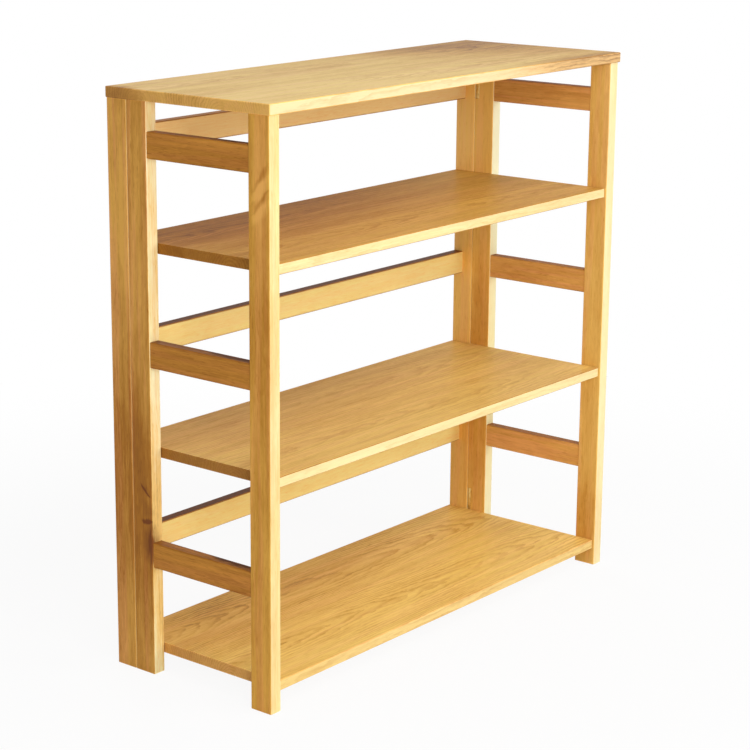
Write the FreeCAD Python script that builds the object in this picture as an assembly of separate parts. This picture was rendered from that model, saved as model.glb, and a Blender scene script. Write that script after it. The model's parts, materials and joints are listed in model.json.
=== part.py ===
import FreeCAD, Part
import math
import os
from FreeCAD import Vector

# Folding bookcase: a back frame, two ladder frames hinged to its inner
# corners, three shelves that swing up on pivot pins, and a lift-off top.
# Millimetres. X runs to the right, Y to the back, Z up; the origin is on the
# floor under the middle of the top panel.

# ---- driving dimensions ---------------------------------------------------
height = 864.0          # floor to the face of the top panel
width = 850.0           # over the outer faces of the posts
depth = 305.0           # front face of the front posts to the back plane

post_w = 21.5           # post section, across the bookcase
post_d = 38.0           # post section, front to back
rail_t = 18.0           # rail section
rail_h = 38.0
board_t = 15.5          # shelves and top panel

lowest_shelf_top = 43.5
top_bay = 203.0         # upper shelf to the underside of the top panel
rail_above_shelf = 122.5    # shelf face up to the lower edge of its rails

top_over_side = 2.0     # how far the top panel stands past the posts
top_over_front = 3.0
shelf_front_set = 4.0   # shelf edge behind the front of the posts
shelf_back_set = 1.0
rail_back_set = 0.75    # back rails in from the back plane

tenon_t = 8.0           # tenons of every rail
tenon_shoulder = 5.0    # rail edge to tenon, above and below
back_tenon_len = 14.0
side_tenon_len = 20.0

pivot_r = 3.0           # steel pins that the shelves swing on
pivot_in_post = 14.0
pivot_in_shelf = 13.0
peg_r = 4.0             # wooden pegs that the shelf fronts rest on
peg_in_post = 14.0
peg_out = 5.5
dowel_r = 4.0           # dowels that locate the top panel
dowel_in_post = 20.0
dowel_out = 8.0

hinge_len = 50.0
hinge_above_floor = 57.0    # floor to the middle of the lower hinges
hinge_below_top = 52.7      # top of the posts to the middle of the upper hinges
axis_ahead = 7.0        # hinge axis in front of the back post
axis_inside = 2.6       # hinge axis behind the inner face of the posts
barrel_r = 2.5
hinge_pin_r = 1.25
leaf_t = 1.5
leaf_far_edge = 17.0    # leaf edge from the inner face of the post
knuckles = 3
knuckle_gap = 0.25
screw_r = 1.3
screw_head_r = 2.6
screw_len = 12.0
screw_sink = 1.3        # height of the countersunk cone
screw_spacing = 26.0
screw_from_face = 11.5  # screw line from the inner face of the post
screw_flats = 8         # screws and their holes are drawn with flats

post_round = 2.0        # rounded long edges of the posts
rail_ease = 1.2         # chamfered arrises
board_ease = 1.0

# ---- fits -----------------------------------------------------------------
glue_gap = 0.1          # around tenons, pins, pegs and screws that stay put
seat_gap = 0.3          # between pieces that touch and come apart
lift_gap = 0.5          # around a dowel in the lift-off top
turn_gap = 0.05         # around a pin that turns
shelf_end_gap = 0.75    # shelf end to post
recess_gap = 0.3        # around a hinge leaf or barrel
blind_gap = 1.0         # past the end of a pin or peg in a shelf

# ---- places that follow ---------------------------------------------------
x_outer = width / 2
x_inner = x_outer - post_w
y_back = (depth + top_over_front) / 2
y_front = y_back - depth
y_seam = y_back - post_d                    # front face of the back posts
y_side_rear = y_seam - seat_gap             # rear face of the side frames
y_rear_rail_end = y_side_rear - post_d      # side rails run from here ...
y_front_rail_end = y_front + post_d         # ... to here
post_top = height - board_t - seat_gap
shelf_pitch = (height - board_t - top_bay - lowest_shelf_top) / 2
shelf_tops = [lowest_shelf_top + n * shelf_pitch for n in range(3)]
rail_bottoms = [z + rail_above_shelf for z in shelf_tops]
y_rail_face = y_back - rail_back_set - rail_t
y_pivot = (y_rail_face + y_seam) / 2        # middle of the recess for the shelves
y_peg = y_front + post_d / 2                # middle of the front posts
y_back_post = y_back - post_d / 2           # middle of the back posts
y_axis = y_seam - axis_ahead
x_axis = x_inner + axis_inside
hinge_mids = {"lower": hinge_above_floor, "upper": post_top - hinge_below_top}
LEVELS = ["lower", "middle", "top"]


# ---- helpers --------------------------------------------------------------
def block(x, y, z):
    """Box between pairs of coordinates, given in any order."""
    lo = Vector(min(x), min(y), min(z))
    size = [max(pair) - min(pair) for pair in (x, y, z)]
    return Part.makeBox(*size, lo)


def rod(radius, start, direction, length):
    return Part.makeCylinder(radius, length, start, direction)


def edges_along(shape, axis):
    """Straight edges parallel to a coordinate axis."""
    return [edge for edge in shape.Edges
            if abs(edge.tangentAt(edge.FirstParameter).dot(axis)) > 0.999]


def mirrored(shape):
    return shape.mirror(Vector(0, 0, 0), Vector(1, 0, 0))


X, Y, Z = Vector(1, 0, 0), Vector(0, 1, 0), Vector(0, 0, 1)


# ---- joinery --------------------------------------------------------------
def tenon_z(level, gap=0.0):
    low = rail_bottoms[level] + tenon_shoulder - gap
    high = rail_bottoms[level] + rail_h - tenon_shoulder + gap
    return low, high


def back_tenon(level, gap=0.0):
    """Tenon at the right end of a back rail; with a gap, its mortise."""
    mid = y_back - rail_back_set - rail_t / 2
    half = tenon_t / 2 + gap
    return block((x_inner - 1.0, x_inner + back_tenon_len + gap),
                 (mid - half, mid + half), tenon_z(level, gap))


def side_tenons(level, gap=0.0):
    """Both tenons of a right side rail; with a gap, their mortises."""
    mid = x_inner + post_w / 2
    half = tenon_t / 2 + gap
    reach = side_tenon_len + gap
    return block((mid - half, mid + half),
                 (y_front_rail_end - reach, y_rear_rail_end + reach), tenon_z(level, gap))


def pivot_start(level):
    """Inner end of the right pivot pin of one shelf."""
    shelf_end = x_inner - shelf_end_gap
    return Vector(shelf_end - pivot_in_shelf, y_pivot, shelf_tops[level] - board_t / 2)


def pivot_pin(level):
    return rod(pivot_r, pivot_start(level), X, pivot_in_shelf + shelf_end_gap + pivot_in_post)


def pivot_bore(level, gap):
    """Bore for a pivot pin, in a post or in a shelf."""
    length = pivot_in_shelf + shelf_end_gap + pivot_in_post + glue_gap + blind_gap
    return rod(pivot_r + gap, pivot_start(level) - X * blind_gap, X, length)


def peg_start(level):
    """Inner end of a right rest peg, its axis in the plane of the shelf's underside."""
    return Vector(x_inner - peg_out, y_peg, shelf_tops[level] - board_t)


def peg(level):
    return rod(peg_r, peg_start(level), X, peg_out + peg_in_post)


def peg_hole(level, gap):
    """Hole for a rest peg in a front post, or the half-round notch in a shelf."""
    start = peg_start(level) - X * blind_gap
    return rod(peg_r + gap, start, X, blind_gap + peg_out + peg_in_post + glue_gap)


def dowel_start(y):
    """Lower end of a right dowel that stands in the top of a post."""
    return Vector(x_inner + post_w / 2, y, post_top - dowel_in_post)


def dowel(y):
    return rod(dowel_r, dowel_start(y), Z, dowel_in_post + dowel_out)


def dowel_hole(y, gap):
    """Hole for a dowel in a post or in the top panel."""
    start = dowel_start(y) - Z * glue_gap
    return rod(dowel_r + gap, start, Z, glue_gap + dowel_in_post + dowel_out + blind_gap)


# ---- hinges ---------------------------------------------------------------
def knuckle_spans(mid, first):
    """Height ranges of every second knuckle, starting with the first or second."""
    step = hinge_len / knuckles
    foot = mid - hinge_len / 2
    return [(foot + n * step + knuckle_gap / 2, foot + (n + 1) * step - knuckle_gap / 2)
            for n in range(first, knuckles, 2)]


def screw_spots(mid):
    return [mid - screw_spacing / 2, mid + screw_spacing / 2]


def screw_ring(radius, spot, y):
    """Corners of a screw's outline at one depth."""
    x = x_inner + screw_from_face
    turns = [2 * math.pi * n / screw_flats for n in range(screw_flats)]
    return [Vector(x + radius * math.cos(a), y, spot + radius * math.sin(a)) for a in turns]


def flat_face(corners):
    return Part.Face(Part.makePolygon(corners + corners[:1]))


def screw(spot, y_face, direction, gap=0.0):
    """Countersunk screw flush with a face and driven along Y; with a gap, its hole."""
    profile = [(screw_head_r, 0), (screw_r, screw_sink), (screw_r, screw_len + gap)]
    rings = [screw_ring(radius + gap, spot, y_face + direction * along)
             for radius, along in profile]
    faces = [flat_face(rings[0]), flat_face(rings[-1])]
    for near, far in zip(rings, rings[1:]):
        for n in range(screw_flats):
            faces.append(flat_face([near[n - 1], near[n], far[n], far[n - 1]]))
    solid = Part.makeSolid(Part.makeShell(faces))
    if solid.Volume < 0:
        solid.reverse()
    return solid


def leaf(mid, y_plate, direction, first):
    """One cranked leaf: plate, webs and its own knuckles on the hinge axis."""
    web_out = axis_inside + barrel_r
    web_in = web_out - leaf_t
    low, high = mid - hinge_len / 2, mid + hinge_len / 2
    y_far = y_plate + direction * leaf_t
    solid = block((x_inner + web_out + recess_gap, x_inner + leaf_far_edge), (y_plate, y_far),
                  (low, high))
    bore = rod(hinge_pin_r + turn_gap, Vector(x_axis, y_axis, low - 1), Z, hinge_len + 2)
    for z0, z1 in knuckle_spans(mid, first):
        barrel = rod(barrel_r, Vector(x_axis, y_axis, z0), Z, z1 - z0)
        web = block((x_inner + web_in, x_inner + web_out), (y_axis, y_far), (z0, z1))
        root = block((x_inner + web_in, x_inner + web_out + recess_gap + 0.5),
                     (y_plate, y_far), (z0, z1))
        solid = solid.fuse([barrel, web, root])
    holes = [screw(spot, y_plate, direction, glue_gap) for spot in screw_spots(mid)]
    return solid.removeSplitter().cut([bore] + holes)


def back_leaf(mid):
    return leaf(mid, y_seam, 1, 0)


def side_leaf(mid):
    return leaf(mid, y_side_rear, -1, 1)


def hinge_pin(mid):
    return rod(hinge_pin_r, Vector(x_axis, y_axis, mid - hinge_len / 2), Z, hinge_len)


def back_leaf_seat(mid):
    """Mortise in the front face of a back post."""
    half = hinge_len / 2 + recess_gap
    near = axis_inside + barrel_r - leaf_t - recess_gap
    return block((x_inner + near, x_inner + leaf_far_edge + recess_gap),
                 (y_seam - 1, y_seam + leaf_t + glue_gap), (mid - half, mid + half))


def side_leaf_seat(mid):
    """Mortise in the rear face of a side frame, and the corner cut for the barrel."""
    half = hinge_len / 2 + recess_gap
    plate = block((x_inner + axis_inside, x_inner + leaf_far_edge + recess_gap),
                  (y_side_rear + 1, y_side_rear - leaf_t - glue_gap), (mid - half, mid + half))
    corner = block((x_inner - 1, x_axis + barrel_r + recess_gap),
                   (y_side_rear + 1, y_axis - barrel_r - recess_gap), (mid - half, mid + half))
    return plate.fuse(corner)


# ---- wooden pieces, right side --------------------------------------------
def post(y0, y1):
    """Post with rounded long edges."""
    solid = block((x_inner, x_outer), (y0, y1), (0, post_top))
    return solid.makeFillet(post_round, edges_along(solid, Z))


def back_post():
    cuts = [back_tenon(n, glue_gap) for n in range(3)]
    cuts += [pivot_bore(n, glue_gap) for n in range(3)]
    cuts += [dowel_hole(y_back_post, glue_gap)]
    for mid in hinge_mids.values():
        cuts.append(back_leaf_seat(mid))
        cuts += [screw(spot, y_seam, 1, glue_gap) for spot in screw_spots(mid)]
    return post(y_seam, y_back).cut(cuts)


def side_rear_post():
    cuts = [side_tenons(n, glue_gap) for n in range(3)]
    for mid in hinge_mids.values():
        cuts.append(side_leaf_seat(mid))
        cuts += [screw(spot, y_side_rear, -1, glue_gap) for spot in screw_spots(mid)]
    return post(y_rear_rail_end, y_side_rear).cut(cuts)


def front_post():
    cuts = [side_tenons(n, glue_gap) for n in range(3)]
    cuts += [peg_hole(n, glue_gap) for n in range(3)]
    cuts += [dowel_hole(y_peg, glue_gap)]
    return post(y_front, y_front_rail_end).cut(cuts)


def side_rail(level):
    inset = (post_w - rail_t) / 2
    z = rail_bottoms[level]
    body = block((x_inner + inset, x_outer - inset), (y_front_rail_end, y_rear_rail_end),
                 (z, z + rail_h))
    return body.makeChamfer(rail_ease, edges_along(body, Y)).fuse(side_tenons(level))


def back_rail(level):
    z = rail_bottoms[level]
    body = block((-x_inner, x_inner), (y_rail_face, y_rail_face + rail_t), (z, z + rail_h))
    tenon = back_tenon(level)
    return body.makeChamfer(rail_ease, edges_along(body, X)).fuse([tenon, mirrored(tenon)])


def shelf(level):
    top = shelf_tops[level]
    end = x_inner - shelf_end_gap
    board = block((-end, end), (y_front + shelf_front_set, y_back - shelf_back_set),
                  (top - board_t, top))
    cuts = [pivot_bore(level, turn_gap), peg_hole(level, seat_gap)]
    board = board.makeChamfer(board_ease, edges_along(board, X))
    return board.cut(cuts + [mirrored(cut) for cut in cuts])


def top_panel():
    over = x_outer + top_over_side
    board = block((-over, over), (y_front - top_over_front, y_back), (height - board_t, height))
    holes = [dowel_hole(y, lift_gap) for y in (y_peg, y_back_post)]
    board = board.makeChamfer(board_ease, board.Edges)
    return board.cut(holes + [mirrored(hole) for hole in holes])


# ---- nodes ----------------------------------------------------------------
def group(solids):
    return Part.makeCompound(solids)


def both_sides(solids):
    return group(solids + [mirrored(solid) for solid in solids])


def side_frame_nodes():
    """Nodes of the right side frame, by the name that follows the side."""
    found = {"rear_post": side_rear_post(), "front_post": front_post()}
    for level, name in enumerate(LEVELS):
        found["rail_" + name] = side_rail(level)
    screws = []
    for name, mid in hinge_mids.items():
        found[name + "_hinge_side_leaf"] = side_leaf(mid)
        screws += [screw(spot, y_side_rear, -1) for spot in screw_spots(mid)]
    found["side_leaf_screws"] = group(screws)
    found["shelf_rest_pegs"] = group([peg(n) for n in range(3)])
    found["top_dowel"] = dowel(y_peg)
    return found


def hinged_side_nodes():
    """Right-hand nodes that stay with the back frame."""
    found = {"back_post": back_post()}
    screws = []
    for name, mid in hinge_mids.items():
        found[name + "_hinge_back_leaf"] = back_leaf(mid)
        found[name + "_hinge_pin"] = hinge_pin(mid)
        screws += [screw(spot, y_seam, 1) for spot in screw_spots(mid)]
    found["back_leaf_screws"] = group(screws)
    return found


def all_nodes():
    nodes = {}
    for name, shape in {**hinged_side_nodes(), **side_frame_nodes()}.items():
        nodes["right_" + name] = shape
        nodes["left_" + name] = mirrored(shape)
    for level, name in enumerate(LEVELS):
        nodes["back_rail_" + name] = back_rail(level)
    nodes["shelf_pivot_pins"] = both_sides([pivot_pin(n) for n in range(3)])
    nodes["back_top_dowels"] = both_sides([dowel(y_back_post)])
    nodes["bottom_shelf"] = shelf(0)
    nodes["middle_shelf"] = shelf(1)
    nodes["upper_shelf"] = shelf(2)
    nodes["top_panel"] = top_panel()
    return nodes


os.makedirs("parts", exist_ok=True)
for node_name, node_shape in all_nodes().items():
    if not node_shape.isValid():
        raise ValueError(node_name + " is not a valid shape")
    node_shape.exportStep("parts/" + node_name + ".step")
    solid_count = len(node_shape.Solids)
    print(node_name, "solids", solid_count, "volume %.1f" % node_shape.Volume)
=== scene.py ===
import json
import math

import bpy
from mathutils import Euler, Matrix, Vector


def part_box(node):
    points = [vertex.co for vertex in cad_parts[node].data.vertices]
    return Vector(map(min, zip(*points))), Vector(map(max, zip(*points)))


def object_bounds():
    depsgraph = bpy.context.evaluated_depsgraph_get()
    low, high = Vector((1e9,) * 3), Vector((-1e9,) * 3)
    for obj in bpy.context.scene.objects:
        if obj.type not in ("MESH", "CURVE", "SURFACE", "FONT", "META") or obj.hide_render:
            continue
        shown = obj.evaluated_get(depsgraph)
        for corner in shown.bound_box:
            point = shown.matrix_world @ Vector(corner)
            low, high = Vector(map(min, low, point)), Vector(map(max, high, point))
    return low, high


# Looks of the folding bookcase: lacquered blond wood, brass hinges, steel pins.
# Metres, in the model's frame: X to the right, Y to the back, Z up.

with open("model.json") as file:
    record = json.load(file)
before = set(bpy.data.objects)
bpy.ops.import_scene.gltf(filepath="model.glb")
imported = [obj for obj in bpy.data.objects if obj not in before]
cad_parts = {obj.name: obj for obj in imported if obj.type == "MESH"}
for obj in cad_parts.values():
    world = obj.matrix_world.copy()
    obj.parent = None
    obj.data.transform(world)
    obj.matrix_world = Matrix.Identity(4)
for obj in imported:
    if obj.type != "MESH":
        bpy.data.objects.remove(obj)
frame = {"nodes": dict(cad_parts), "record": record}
cad_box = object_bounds()
nodes = frame["nodes"]
slots = {part["node"]: part["material_slot"] for part in frame["record"]["subparts"]}
low, high = cad_box
middle = (low + high) / 2
X_AXIS, Y_AXIS, Z_AXIS = 0, 1, 2
WHITE = (1.0, 1.0, 1.0, 1.0)

# ---- camera ---------------------------------------------------------------
# At the photograph's viewing angle, fitted with a small shift. The photograph's own shift is
# much larger and would push the bookcase out of the picture in views from other sides.
CAMERA_PLACE = Vector((-2.5267, -2.0036, 1.2244))
CAMERA_YAW = math.radians(49.44)        # from +Y towards +X
CAMERA_PITCH = math.radians(14.07)      # below the horizon
FRAME_PX = 750
FOCAL_PX = 2135.9
SENSOR_WIDTH = 36.0                     # in millimetres, as Blender has it
SHIFT_X, SHIFT_Y = 0.10, -0.025         # in frame widths

camera_data = bpy.data.cameras.new("camera")
camera_data.sensor_fit = "HORIZONTAL"
camera_data.sensor_width = SENSOR_WIDTH
camera_data.lens = FOCAL_PX / FRAME_PX * SENSOR_WIDTH
camera_data.shift_x, camera_data.shift_y = SHIFT_X, SHIFT_Y
camera = bpy.data.objects.new("camera", camera_data)
bpy.context.scene.collection.objects.link(camera)
camera.location = CAMERA_PLACE
camera.rotation_euler = Euler((math.pi / 2 - CAMERA_PITCH, 0, -CAMERA_YAW))
bpy.context.scene.camera = camera
bpy.context.scene.view_settings.view_transform = "Standard"


# ---- shader nodes ---------------------------------------------------------
class Graph:
    """The node tree of one material or world, with short calls to fill it."""

    def __init__(self, owner):
        owner.use_nodes = True
        self.tree = owner.node_tree
        self.tree.nodes.clear()

    def add(self, kind, inputs=None, **settings):
        made = self.tree.nodes.new("ShaderNode" + kind)
        for name, value in settings.items():
            setattr(made, name, value)
        for name, value in (inputs or {}).items():
            self.feed(made.inputs[name], value)
        return made

    def feed(self, socket, value):
        if isinstance(value, bpy.types.NodeSocket):
            self.tree.links.new(value, socket)
        else:
            socket.default_value = value

    def math(self, operation, a, b=0.0, c=0.0):
        return self.add("Math", {0: a, 1: b, 2: c}, operation=operation).outputs[0]

    def vector(self, x, y, z):
        return self.add("CombineXYZ", {0: x, 1: y, 2: z}).outputs[0]

    def noise(self, place, detail, roughness=0.5):
        inputs = {"Vector": place, "Scale": 1.0, "Detail": detail, "Roughness": roughness}
        return self.add("TexNoise", inputs).outputs["Fac"]

    def ramp(self, value, low_in, high_in, low_out=0.0, high_out=1.0):
        inputs = {0: value, 1: low_in, 2: high_in, 3: low_out, 4: high_out}
        return self.add("MapRange", inputs, interpolation_type="SMOOTHSTEP").outputs[0]

    def clamp(self, value):
        return self.add("Clamp", {0: value}).outputs[0]

    def mix(self, factor, a, b, blend="MIX"):
        made = self.add("Mix", data_type="RGBA", blend_type=blend)
        self.feed(made.inputs["Factor"], factor)
        self.feed(made.inputs[6], a)
        self.feed(made.inputs[7], b)
        return made.outputs[2]

    def finish(self, shader, kind="Material"):
        out = self.add("Output" + kind)
        self.tree.links.new(shader, out.inputs["Surface"])


def linear(red, green, blue):
    """Scene-linear colour of an sRGB colour given in 0 to 255."""
    return tuple(((v / 255 + 0.055) / 1.055) ** 2.4 for v in (red, green, blue)) + (1.0,)


# ---- grain ----------------------------------------------------------------
# Noise drawn out along the grain: waves per metre along it and across it, a shift that
# takes it from a place of its own, detail and roughness.
WANDER = (2.2, 9.0, 1.0, 2.0, 0.5)          # how the growth rings wander
WAVER = (22.0, 80.0, 4.0, 3.0, 0.6)         # and how jagged they are
FADING = (5.0, 16.0, 77.0, 2.0, 0.5)        # where they are faint
BLOTCH = (2.5, 34.0, 9.0, 3.0, 0.55)
STREAK = (5.0, 190.0, 15.0, 3.0, 0.6)
CLOUD = (12.0, 60.0, 51.0, 3.0, 0.6)
FIBRE = (45.0, 900.0, 21.0, 2.0, 0.6)
PORE = (72.0, 720.0, 33.0, 1.0, 0.5)
BLUSH = (3.0, 75.0, 63.0, 2.0, 0.5)
# the next noise gives the patches where edges take their edge tone: a painted highlight on
# posts and boards
EDGE_PATCH = (16.0, 30.0, 40.0, 3.0, 0.5)         # where edges show their own tone
STAVE_JUMP = 11.0           # how far apart the noise of neighbouring staves is taken
SEED_JUMPS = (3.7, 1.9, 5.3)            # and that of pieces whose seeds differ by 1

RING_STEP = 0.0045          # width of a growth ring
RING_RISE, RING_FALL = (0.35, 0.90), (0.93, 1.0)    # where in a ring it darkens and ends
WANDER_SIZE, WAVER_SIZE = 0.034, 0.008
FADING_RANGE, FAINTEST = (0.38, 0.62), 0.35
SIDE_TILT = 0.6             # the grain's drift to the side, as a share of that in depth

MARK_WAVES = 70.0           # waves per metre in the outlines of marks
MARK_DRIFT = 0.010          # and their size
MARK_TAPER = 0.6            # how much narrower a mark is at its ends
ARRIS = 0.0024              # how far in from an edge its tone changes


class Grain:
    """Distances along and across the grain of one piece, and noise drawn out along it."""

    def __init__(self, graph, place, corners, axis, seed, staves):
        self.graph, self.seed = graph, seed
        centre = (corners[0] + corners[1]) / 2
        parts = graph.add("SeparateXYZ", {0: place}).outputs
        across, through = [other for other in (X_AXIS, Y_AXIS, Z_AXIS) if other != axis]
        self.along = graph.math("SUBTRACT", parts[axis], centre[axis])
        self.side = graph.math("SUBTRACT", parts[across], centre[across])
        self.deep = graph.math("SUBTRACT", parts[through], centre[through])

        # staves, glued edge to edge: each has grain of its own
        width = (corners[1][across] - corners[0][across]) / staves
        counted = graph.math("ADD", graph.math("DIVIDE", self.side, width), staves / 2)
        stave = graph.math("MAXIMUM", graph.math("FLOOR", counted), 0.0)
        self.stave = graph.math("MINIMUM", stave, staves - 1.0)
        from_first = graph.math("ADD", self.side, width * (staves - 1) / 2)
        self.in_stave = graph.math("MULTIPLY_ADD", self.stave, -width, from_first)

    def noise(self, per_along, per_across, shift, detail, roughness):
        graph = self.graph
        first, second, third = [self.seed * jump for jump in SEED_JUMPS]
        start = graph.math("MULTIPLY_ADD", self.stave, STAVE_JUMP, first + shift)
        vector = graph.vector(
            graph.math("MULTIPLY_ADD", self.along, per_along, start),
            graph.math("MULTIPLY_ADD", self.side, per_across, second + shift),
            graph.math("MULTIPLY_ADD", self.deep, per_across, third - shift))
        return graph.noise(vector, detail, roughness)


def growth_rings(graph, grain, pith, tilt):
    """1 in the dark late wood of each growth ring, less where the rings are faint."""
    beside = graph.math("SUBTRACT", grain.in_stave, pith[0])
    beside = graph.math("MULTIPLY_ADD", grain.along, tilt * SIDE_TILT, beside)
    below = graph.math("SUBTRACT", grain.deep, pith[1])
    below = graph.math("MULTIPLY_ADD", grain.along, tilt, below)
    squares = [graph.math("MULTIPLY", leg, leg) for leg in (beside, below)]
    radius = graph.math("SQRT", graph.math("ADD", *squares))
    radius = graph.math("MULTIPLY_ADD", grain.noise(*WANDER), WANDER_SIZE, radius)
    radius = graph.math("MULTIPLY_ADD", grain.noise(*WAVER), WAVER_SIZE, radius)
    ring = graph.math("FRACT", graph.math("DIVIDE", radius, RING_STEP))
    late = graph.math("MULTIPLY", graph.ramp(ring, *RING_RISE),
                      graph.ramp(ring, *RING_FALL, 1.0, 0.0))
    shown = graph.ramp(grain.noise(*FADING), *FADING_RANGE, FAINTEST, 1.0)
    return graph.math("MULTIPLY", late, shown)


def wavering(graph, place):
    """The place moved a little one way and the other, so that marks get uneven outlines."""
    drift = graph.add("TexNoise", {"Vector": place, "Scale": MARK_WAVES, "Detail": 2.0})
    inputs = {0: drift.outputs["Color"], 1: (MARK_DRIFT,) * 3, 2: place}
    moved = graph.add("VectorMath", inputs, operation="MULTIPLY_ADD").outputs[0]
    return graph.add("VectorMath", {0: moved, 1: (MARK_DRIFT / 2,) * 3},
                     operation="SUBTRACT").outputs[0]


def mark_mask(graph, place, start, end, reach):
    """1 on the stretch from start to end, 0 at reach away from it, narrower at the ends."""
    run = Vector(end) - Vector(start)
    off = graph.add("VectorMath", {0: place, 1: start}, operation="SUBTRACT").outputs[0]
    share = graph.add("VectorMath", {0: off, 1: run / run.length_squared},
                      operation="DOT_PRODUCT").outputs["Value"]
    share = graph.clamp(share)
    back = graph.add("VectorMath", {0: run, "Scale": share}, operation="SCALE").outputs[0]
    away = graph.add("VectorMath", {0: off, 1: back}, operation="DISTANCE").outputs["Value"]
    to_end = graph.math("MULTIPLY_ADD", share, 2.0, -1.0)
    taper = graph.math("MULTIPLY", to_end, to_end)
    away = graph.math("MULTIPLY_ADD", taper, reach * MARK_TAPER, away)
    return graph.ramp(away, 0.0, reach, 1.0, 0.0)


def arris_mask(graph, place, corners):
    """1 along the straight edges of a box, 0 a few millimetres in."""
    centre, half = (corners[0] + corners[1]) / 2, (corners[1] - corners[0]) / 2
    parts = graph.add("SeparateXYZ", {0: place}).outputs
    inset = []
    for axis in (X_AXIS, Y_AXIS, Z_AXIS):
        away = graph.math("ABSOLUTE", graph.math("SUBTRACT", parts[axis], centre[axis]))
        inset.append(graph.math("SUBTRACT", half[axis], away))
    near = graph.math("MINIMUM", inset[0], inset[1])
    far = graph.math("MAXIMUM", inset[0], inset[1])
    second = graph.math("MAXIMUM", near, graph.math("MINIMUM", far, inset[2]))
    return graph.ramp(second, 0.0, ARRIS, 1.0, 0.0)


# ---- wood -----------------------------------------------------------------
# how far each feature takes the wood from its pale tone, at 0, to its dark one, at 1
RING_DEPTH = 0.42
BANDS = ((BLOTCH, 0.30, 0.70, 0.45),        # noise, where it sets in and is full, depth
         (STREAK, 0.30, 0.72, 0.35),
         (CLOUD, 0.35, 0.70, 0.25))
FIBRE_DEPTH = 0.80
PORE_DEPTH, PORE_RANGE = 0.28, (0.60, 0.72)
# brown beyond the dark tone, for a knot and for the deepest painted shade on the boards
KNOT_AND_SHADE_BROWN = (0.190, 0.056, 0.012, 1.0)     # beyond the dark tone

BLUSH_TINT = (1.08, 0.98, 1.45, 1.0)        # pinkish streaks among the golden ones
BLUSH_RANGE = (0.45, 0.60)
FRONT_BLUSH = 0.25          # share of the blush that front faces keep
EDGE_PATCH_RANGE = (0.20, 0.55)
# how squarely a face looks along an axis where the tone for it sets in, and is full
FACE_FROM, FACE_FULL = 0.72, 0.92
END_FROM, END_FULL = 0.60, 0.85
BACK_SHARE = 0.5            # how much of the front's tone the faces at the back have
END_SHARE = 0.5             # how much of the sides' dark tone end grain has

ROUGHNESS, FIBRE_ROUGHNESS, END_ROUGHNESS = 0.46, 0.20, 0.12
COAT_ROUGHNESS = 0.25
PORE_SINK = -0.8            # depth of the pores, in heights of the fibres
RELIEF, RELIEF_STRENGTH = 0.00025, 0.25


def painted_light_face_colour(graph, facing, within, tones, both_faces):
    """Painted light and shade by facing: colour on the sides, front, back and top, and how
    much of the front's it has.
    """
    front = graph.ramp(facing[Y_AXIS], -FACE_FULL, -FACE_FROM, 1.0, 0.0)
    back = graph.ramp(facing[Y_AXIS], FACE_FROM, FACE_FULL, 0.0, BACK_SHARE)
    front = graph.math("ADD", front, back)
    up = graph.math("ABSOLUTE", facing[Z_AXIS]) if both_faces else facing[Z_AXIS]
    top = graph.ramp(up, FACE_FROM, FACE_FULL)
    colour = graph.mix(within, *tones["side"])
    colour = graph.mix(front, colour, graph.mix(within, *tones["front"]))
    return graph.mix(top, colour, graph.mix(within, *tones["top"])), front


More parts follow.
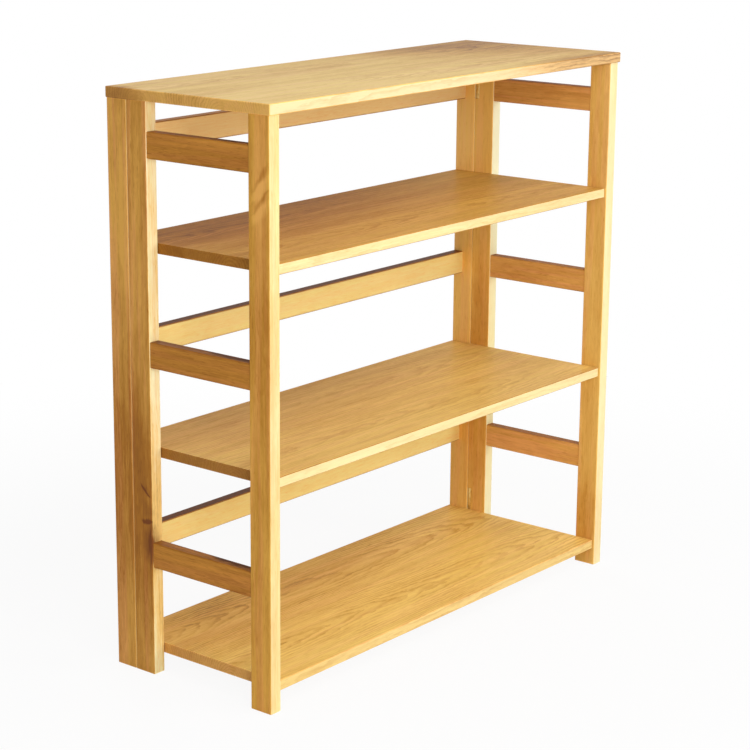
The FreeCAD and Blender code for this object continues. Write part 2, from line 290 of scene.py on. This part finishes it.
def wood(name, corners, axis, tones, seed, pith=(0.03, 0.05), tilt=0.03, figure=0.5,
         streaks=0.5, blush=0.5, gloss=0.03, edge_tone=WHITE, marks=(),
         both_faces=False, sheen=0.12, staves=1):
    """Lacquered solid wood whose rings, fibres and end grain run through the piece.

    axis is the one that the grain follows, pith where the heart of the tree lies beside the
    middle of a stave, and tilt how fast the grain drifts from it, which draws arches.
    tones gives the pale and the dark tone of the faces to the sides, the front and the top:
    lit and shaded copies of one wood, which paint light and shade by facing. Faces at the back
    mix those of front and sides, and with both_faces the underside has the top's.
    edge_tone is what multiplies the colour along the edges: a painted highlight on posts and
    boards, a darker tone on rails. figure is the strength of the rings, streaks that of the
    streaks and blotches, and blush that of the pinkish ones; gloss is the weight of the coat,
    and sheen the specular level. marks are streaks and knots in the grain, and painted shade
    and light on posts, boards and the left side rails: start, end, reach and depth of each.
    """
    material = bpy.data.materials.new(name)
    graph = Graph(material)
    coords = graph.add("TexCoord").outputs
    place = coords["Object"]
    grain = Grain(graph, place, corners, axis, seed, staves)
    fibre = grain.noise(*FIBRE)
    pore = graph.ramp(grain.noise(*PORE), *PORE_RANGE)

    # how dark the wood is
    depth = graph.math("MULTIPLY", growth_rings(graph, grain, pith, tilt), RING_DEPTH * figure)
    for noise, sets_in, full, share in BANDS:
        band = graph.ramp(grain.noise(*noise), sets_in, full)
        depth = graph.math("MULTIPLY_ADD", band, share * streaks, depth)
    depth = graph.math("MULTIPLY_ADD", graph.math("SUBTRACT", fibre, 0.5), FIBRE_DEPTH, depth)
    depth = graph.math("MULTIPLY_ADD", pore, PORE_DEPTH, depth)
    waved = wavering(graph, place) if marks else place
    # the marks add streaks and knots in the grain, and painted shade and light
    for start, end, reach, amount in marks:
        mask = mark_mask(graph, waved, start, end, reach)
        depth = graph.math("MULTIPLY_ADD", mask, amount, depth)
    within = graph.clamp(depth)
    beyond = graph.clamp(graph.math("SUBTRACT", depth, 1.0))

    # its colour
    facing = graph.add("SeparateXYZ", {0: coords["Normal"]}).outputs
    colour, front = painted_light_face_colour(graph, facing, within, tones, both_faces)
    kept = graph.math("MULTIPLY_ADD", front, FRONT_BLUSH - 1.0, 1.0)
    pink = graph.math("MULTIPLY", graph.ramp(grain.noise(*BLUSH), *BLUSH_RANGE), kept)
    colour = graph.mix(graph.math("MULTIPLY", pink, blush), colour, BLUSH_TINT, "MULTIPLY")
    colour = graph.mix(beyond, colour, KNOT_AND_SHADE_BROWN)
    end_grain = graph.ramp(graph.math("ABSOLUTE", facing[axis]), END_FROM, END_FULL)
    colour = graph.mix(graph.math("MULTIPLY", end_grain, END_SHARE), colour, tones["side"][1])
    # along the edges, in patches: a painted highlight on posts and boards, a darker tone on
    # rails
    edge_share = graph.math("MULTIPLY", arris_mask(graph, place, corners),
                      graph.ramp(grain.noise(*EDGE_PATCH), *EDGE_PATCH_RANGE))
    colour = graph.mix(edge_share, colour, edge_tone, "MULTIPLY")

    # its surface
    rough = graph.math("MULTIPLY_ADD", fibre, FIBRE_ROUGHNESS, ROUGHNESS)
    rough = graph.math("MULTIPLY_ADD", end_grain, END_ROUGHNESS, rough)
    height = graph.math("MULTIPLY_ADD", pore, PORE_SINK, fibre)
    bump = graph.add("Bump", {"Strength": RELIEF_STRENGTH, "Distance": RELIEF,
                              "Height": height})
    shader = graph.add("BsdfPrincipled", {
        "Base Color": colour, "Roughness": rough, "Normal": bump.outputs[0]})
    shader.inputs["Specular IOR Level"].default_value = sheen
    shader.inputs["Coat Weight"].default_value = gloss
    shader.inputs["Coat Roughness"].default_value = COAT_ROUGHNESS
    graph.finish(shader.outputs[0])
    return material


# ---- metal ----------------------------------------------------------------
PATCH_WAVES = (160.0, 160.0, 160.0)         # of tarnish, per metre
SCRATCH_WAVES = (2600.0, 2600.0, 120.0)     # fine across and long upwards
PATCH_RANGE, TARNISH_SHARE = (0.45, 0.70), 0.5
SATIN, SCRATCH_ROUGHNESS, TARNISH_ROUGHNESS = 0.20, 0.25, 0.12
SCRATCH_RELIEF, SCRATCH_STRENGTH = 0.00005, 0.20


def metal(name, tint, tarnish, seed):
    """Satin metal with a little tarnish in patches and fine scratches."""
    material = bpy.data.materials.new(name)
    graph = Graph(material)
    place = graph.add("TexCoord").outputs["Object"]

    def noise(waves, detail):
        inputs = {0: place, 1: waves, 2: (seed, seed * 2, seed * 3)}
        scaled = graph.add("VectorMath", inputs, operation="MULTIPLY_ADD")
        return graph.noise(scaled.outputs[0], detail)

    patch = graph.ramp(noise(PATCH_WAVES, 3.0), *PATCH_RANGE)
    scratch = noise(SCRATCH_WAVES, 1.0)
    colour = graph.mix(graph.math("MULTIPLY", patch, TARNISH_SHARE), tint, tarnish)
    rough = graph.math("MULTIPLY_ADD", scratch, SCRATCH_ROUGHNESS, SATIN)
    rough = graph.math("MULTIPLY_ADD", patch, TARNISH_ROUGHNESS, rough)
    bump = graph.add("Bump", {"Strength": SCRATCH_STRENGTH, "Distance": SCRATCH_RELIEF,
                              "Height": scratch})
    shader = graph.add("BsdfPrincipled", {
        "Base Color": colour, "Roughness": rough, "Normal": bump.outputs[0]})
    shader.inputs["Metallic"].default_value = 1.0
    graph.finish(shader.outputs[0])
    return material


# ---- tones ----------------------------------------------------------------
# pale and dark tone of the faces to the sides, the front and the top: lit and shaded copies
# of one wood, with painted light on the pale fronts and painted shade on the darker sides
LEFT_POST = {"side": (linear(228, 172, 82), linear(174, 114, 40)),
             "front": (linear(250, 230, 166), linear(232, 194, 120)),
             "top": (linear(226, 178, 104), linear(178, 126, 62))}
# The right-hand posts' inner sides get a paler tone than the left-hand outer sides: painted
# light.
RIGHT_POST = dict(LEFT_POST, side=(linear(254, 208, 114), linear(220, 158, 70)))
POSTS = {
    "left_back_post": LEFT_POST,
    "left_rear_post": dict(LEFT_POST, front=(linear(255, 254, 206), linear(242, 202, 122))),
    "left_front_post": dict(LEFT_POST, side=(linear(232, 178, 80), linear(186, 126, 42))),
    "right_back_post": RIGHT_POST,
    # its paler front makes up for the shade it stands in: painted light
    "right_rear_post": dict(RIGHT_POST, side=(linear(248, 200, 106), linear(212, 150, 62)),
                            front=(linear(255, 252, 210), linear(250, 234, 174))),
    "right_front_post": dict(RIGHT_POST, side=(linear(242, 198, 108), linear(208, 150, 66)),
                             front=(linear(250, 234, 180), linear(236, 204, 138))),
}

# The rails' tops take a dark tone: painted shade under the boards above them.
LEFT_RAIL = {"side": (linear(208, 144, 58), linear(146, 88, 24)),
             "front": (linear(236, 196, 124), linear(196, 146, 82)),
             "top": (linear(184, 124, 54), linear(76, 38, 4))}
# The right-hand rails' inner sides are paler likewise: painted light.
RIGHT_RAIL = dict(LEFT_RAIL, side=(linear(236, 180, 98), linear(190, 128, 56)))
BACK_RAIL = {"side": (linear(216, 156, 82), linear(160, 102, 44)),
             "front": (linear(255, 236, 156), linear(248, 200, 112)),
             "top": (linear(112, 64, 16), linear(72, 38, 4))}
TOP_BACK_RAIL = dict(BACK_RAIL, front=(linear(255, 226, 158), linear(246, 194, 118)),
                     top=(linear(206, 156, 92), linear(160, 108, 54)))

SHELF_FRONT = (linear(246, 226, 166), linear(228, 194, 128))
# The upper shelf's top is darker than the middle one's and the bottom one's is paler: painted
# shade under the top panel and painted light below.
BOARDS = {
    "top_panel": {"side": (linear(255, 204, 112), linear(196, 142, 66)),
                  "front": (linear(244, 215, 162), linear(224, 182, 122)),
                  "top": (linear(248, 214, 134), linear(210, 162, 86))},
    "upper_shelf": {"side": (linear(206, 148, 66), linear(152, 98, 36)),
                    "front": SHELF_FRONT,
                    "top": (linear(228, 184, 94), linear(186, 132, 52))},
    "middle_shelf": {"side": (linear(198, 142, 66), linear(148, 96, 36)),
                     "front": SHELF_FRONT,
                     "top": (linear(242, 204, 114), linear(204, 152, 68))},
    "bottom_shelf": {"side": (linear(250, 198, 114), linear(202, 144, 72)),
                     "front": (linear(244, 214, 138), linear(222, 178, 102)),
                     "top": (linear(252, 216, 120), linear(216, 164, 72))},
}
FIGURES = {"top_panel": 1.25, "upper_shelf": 0.9, "middle_shelf": 0.8, "bottom_shelf": 1.3}
SHEENS = {"top_panel": 0.20, "upper_shelf": 0.04, "middle_shelf": 0.12, "bottom_shelf": 0.12}
BOARD_STAVES = 2

DOWEL = {"side": (linear(226, 190, 136), linear(186, 144, 92)),
         "front": (linear(230, 196, 144), linear(190, 150, 98)),
         "top": (linear(226, 190, 136), linear(186, 144, 92))}
# painted highlight along the edges of posts and boards; the rails are darker along theirs
PAINTED_EDGE_HIGHLIGHT = (1.16, 1.18, 1.22, 1.0)
EDGE_DEEP = (0.70, 0.62, 0.52, 1.0)

# tint and tarnish
METALS = {"hinge_brass": (linear(240, 212, 138), linear(196, 156, 84)),
          "screw_steel": (linear(214, 198, 150), linear(160, 140, 92)),
          "pin_steel": (linear(206, 208, 210), linear(150, 152, 156))}

# ---- marks ----------------------------------------------------------------
OVERHANG, POST_WIDTH = 0.002, 0.0215
OUTER = low[X_AXIS] + OVERHANG                  # outer faces of the left-hand posts
INNER = high[X_AXIS] - OVERHANG - POST_WIDTH    # inner faces of the right-hand posts
REAR, FRONT = high[Y_AXIS], low[Y_AXIS]         # rear and front edge of the top panel
STRETCH_REACH = 0.160
# reach and depth of the painted shade on the left side rails' tops
RAIL_SHADE_REACH, RAIL_SHADE_DEPTH = 0.019, 1.1


def stretch(x, y, bottom, top, amount, reach=STRETCH_REACH):
    """A darker stretch of a post, or a paler one where the amount is negative."""
    return (x, y, bottom), (x, y, top), reach, amount


POST_MARKS = {
    "left_rear_post": (
        # a knot just above the lowest side rail, redder wood below it and a dark streak above
        ((OUTER, 0.098, 0.2345), (OUTER, 0.078, 0.2360), 0.0068, 1.75),
        ((OUTER, 0.084, 0.232), (OUTER, 0.080, 0.168), 0.022, 0.90),
        ((OUTER, 0.089, 0.268), (OUTER, 0.082, 0.238), 0.014, 0.35),
        # a split higher up, in slightly darker wood
        ((OUTER, 0.1015, 0.2915), (OUTER, 0.077, 0.2695), 0.0034, 1.7),
        ((OUTER, 0.1000, 0.2900), (OUTER, 0.075, 0.2720), 0.0090, 0.35),
        stretch(OUTER, 0.095, 0.08, 0.46, 0.65),
        # its front face, darker at the foot and paler at half height
        stretch(OUTER + 0.020, 0.076, 0.00, 0.14, 0.35, reach=0.045),
        stretch(OUTER + 0.020, 0.076, 0.30, 0.52, -0.40, reach=0.045)),
    "left_back_post": (stretch(OUTER, 0.135, 0.14, 0.46, 0.40),
                       stretch(OUTER, 0.135, 0.60, 0.90, -0.35)),
    "left_front_post": (
        stretch(OUTER, -0.135, 0.44, 0.62, 0.30, reach=0.120),
        # curled grain near the top
        ((OUTER, -0.151, 0.786), (OUTER, -0.120, 0.742), 0.007, 0.50),
        ((OUTER, -0.151, 0.768), (OUTER, -0.118, 0.728), 0.013, -0.55),
        ((OUTER, -0.151, 0.752), (OUTER, -0.120, 0.710), 0.006, 0.55),
        ((OUTER, -0.151, 0.736), (OUTER, -0.118, 0.698), 0.013, -0.50)),
    # The right-hand posts' inner faces: painted shade low down, under the shelves, and painted
    # light high up on the back and rear posts.
    "right_back_post": (stretch(INNER, 0.135, 0.05, 0.36, 0.35),
                        stretch(INNER, 0.135, 0.62, 0.90, -0.35)),
    "right_rear_post": (stretch(INNER, 0.095, 0.05, 0.50, 0.55),
                        stretch(INNER, 0.095, 0.62, 0.90, -0.40)),
    "right_front_post": (stretch(INNER, -0.130, 0.00, 0.14, 0.45),),
}

# Painted shade: the boards are darker towards the back, under the board above, and painted
# light makes some of them paler in front. Heights are from a board's top.
BOARD_MARKS = {
    "bottom_shelf": (((-0.70, REAR, 0.0), (0.25, REAR, 0.0), 0.26, 0.50),
                     ((-0.50, FRONT, 0.0), (0.50, FRONT, 0.0), 0.20, -0.15)),
    "middle_shelf": (((-0.50, REAR, 0.0), (0.25, REAR, 0.0), 0.26, 0.38),
                     ((-0.50, FRONT, 0.0), (0.50, FRONT, 0.0), 0.20, -0.20)),
    "upper_shelf": (((-0.75, REAR, 0.0), (0.30, REAR, 0.0), 0.30, 0.85),),
    # also darker along the right of its front edge and at its rear left corner
    "top_panel": (((0.10, REAR, 0.0), (0.80, 0.020, 0.0), 0.30, 1.05),
                  ((0.10, -0.170, -0.008), (0.60, -0.170, -0.008), 0.070, 0.95),
                  ((-0.60, FRONT, 0.0), (0.20, FRONT, 0.0), 0.24, -0.45),
                  ((-0.445, 0.200, -0.012), (-0.445, 0.070, -0.012), 0.050, 1.80)),
}


def board_marks(node, corners):
    """The marks of a board, moved up to its top."""
    lift = Vector((0.0, 0.0, corners[1][Z_AXIS]))
    return [(Vector(start) + lift, Vector(end) + lift, reach, amount)
            for start, end, reach, amount in BOARD_MARKS[node]]


def rail_top_shade(corners):
    """Painted shade along the inner top edge of a left side rail, from its front end, behind
    the front post.
    """
    inner, top = corners[1][X_AXIS], corners[1][Z_AXIS]
    front, rear = corners[0][Y_AXIS], corners[1][Y_AXIS]
    start, end = (inner, front, top), (inner, (front + rear) / 2, top)
    return start, end, RAIL_SHADE_REACH, RAIL_SHADE_DEPTH


# ---- dress the pieces -----------------------------------------------------
FIRST_SEED, SEED_STEP = 1.0, 0.73


def looks_of(node, seed):
    """Material of one node, from its slot and its name."""
    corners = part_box(node)
    spread = math.sin(seed * 12.9) * 0.5        # from -0.5 to 0.5, another for each piece
    left = node.startswith("left")
    if slots[node] in METALS:
        return metal(node, *METALS[slots[node]], seed)
    if slots[node] == "dowel_wood":
        axis = X_AXIS if "peg" in node else Z_AXIS
        return wood(node, corners, axis, DOWEL, seed, streaks=0.3, gloss=0.0)
    if slots[node] == "board_wood":
        return wood(node, corners, X_AXIS, BOARDS[node], seed, pith=(0.03 * spread, -0.035),
                    tilt=0.05, figure=FIGURES[node], streaks=0.65, blush=0.25, gloss=0.06,
                    edge_tone=PAINTED_EDGE_HIGHLIGHT, marks=board_marks(node, corners),
                    both_faces=True, sheen=SHEENS[node], staves=BOARD_STAVES)
    if node.startswith("back_rail"):
        tones = TOP_BACK_RAIL if node.endswith("top") else BACK_RAIL
        return wood(node, corners, X_AXIS, tones, seed, pith=(0.04, 0.03 * spread),
                    figure=0.4, streaks=0.4, edge_tone=EDGE_DEEP)
    if "_rail_" in node:
        return wood(node, corners, Y_AXIS, LEFT_RAIL if left else RIGHT_RAIL, seed,
                    pith=(-0.04, 0.05 * spread), figure=0.4, streaks=0.7,
                    edge_tone=EDGE_DEEP, marks=(rail_top_shade(corners),) if left else ())
    return wood(node, corners, Z_AXIS, POSTS[node], seed, pith=(0.05, 0.06 * spread),
                figure=0.35, streaks=0.9 if left else 0.55, blush=0.75 if left else 0.4,
                edge_tone=PAINTED_EDGE_HIGHLIGHT, marks=POST_MARKS[node])


for index, node in enumerate(sorted(nodes)):
    piece = nodes[node]
    piece.data.materials.clear()
    piece.data.materials.append(looks_of(node, FIRST_SEED + SEED_STEP * index))


# ---- floor and world ------------------------------------------------------
FLOOR_SIZE = 80.0
FLOOR_DROP = 0.0005         # below the feet
FLOOR_COLOUR = (0.88, 0.88, 0.88, 1.0)
FLOOR_SHADE = 0.08          # how much of the floor's own shading shows near the piece
SHADE_START, SHADE_END = 0.55, 1.6      # and how far out it fades away
SKY_LIGHT = 0.32


def flat_piece(name, size, place):
    """Square plate that faces up."""
    mesh = bpy.data.meshes.new(name)
    half = size / 2
    mesh.from_pydata([(-half, -half, 0), (half, -half, 0), (half, half, 0), (-half, half, 0)],
                     [], [(0, 1, 2, 3)])
    made = bpy.data.objects.new(name, mesh)
    made.location = place
    bpy.context.scene.collection.objects.link(made)
    return made


def background_rays(graph):
    """1 for rays that show the background: seen straight, mirrored or through glass."""
    path = graph.add("LightPath").outputs
    indirect = graph.math("MAXIMUM", path["Is Glossy Ray"], path["Is Transmission Ray"])
    return graph.math("MAXIMUM", path["Is Camera Ray"], indirect)


def floor_looks():
    """White floor that keeps a faint shadow near the bookcase."""
    material = bpy.data.materials.new("floor")
    graph = Graph(material)
    plain = graph.add("BsdfDiffuse", {"Color": FLOOR_COLOUR})
    white = graph.add("Emission", {"Color": WHITE, "Strength": 1.0})
    distance = graph.add("VectorMath", {0: graph.add("TexCoord").outputs["Object"]},
                         operation="LENGTH").outputs["Value"]
    shade = graph.ramp(distance, SHADE_START, SHADE_END, FLOOR_SHADE, 0.0)
    share = graph.math("MULTIPLY", background_rays(graph), graph.math("SUBTRACT", 1.0, shade))
    mixed = graph.add("MixShader", {0: share, 1: plain.outputs[0], 2: white.outputs[0]})
    graph.finish(mixed.outputs[0])
    return material


def white_world():
    """White where it is seen, and a weaker light from all around."""
    made = bpy.data.worlds.new("world")
    graph = Graph(made)
    strength = graph.ramp(background_rays(graph), 0.0, 1.0, SKY_LIGHT, 1.0)
    sky = graph.add("Background", {"Color": WHITE, "Strength": strength})
    graph.finish(sky.outputs[0], "World")
    return made


floor = flat_piece("floor", FLOOR_SIZE, (0, 0, low[Z_AXIS] - FLOOR_DROP))
floor.data.materials.append(floor_looks())
bpy.context.scene.world = white_world()


# ---- lights ---------------------------------------------------------------
def soft_light(name, place, size, power, mirrored=True):
    """Square softbox that faces the middle of the bookcase."""
    data = bpy.data.lights.new(name, "AREA")
    data.shape = "SQUARE"
    data.size = size
    data.energy = power
    lamp = bpy.data.objects.new(name, data)
    lamp.location = place
    aim = middle - Vector(place)
    lamp.rotation_euler = aim.to_track_quat("-Z", "Y").to_euler()
    lamp.visible_glossy = mirrored
    bpy.context.scene.collection.objects.link(lamp)


soft_light("key", (1.5, -2.9, 1.35), size=1.3, power=27.0)
soft_light("fill", (-2.2, -2.5, 1.4), size=1.3, power=45.0, mirrored=False)
soft_light("top", (-0.3, -1.9, 2.7), size=1.6, power=32.0)
soft_light("rear", (1.9, 2.9, 1.8), size=1.6, power=28.0, mirrored=False)
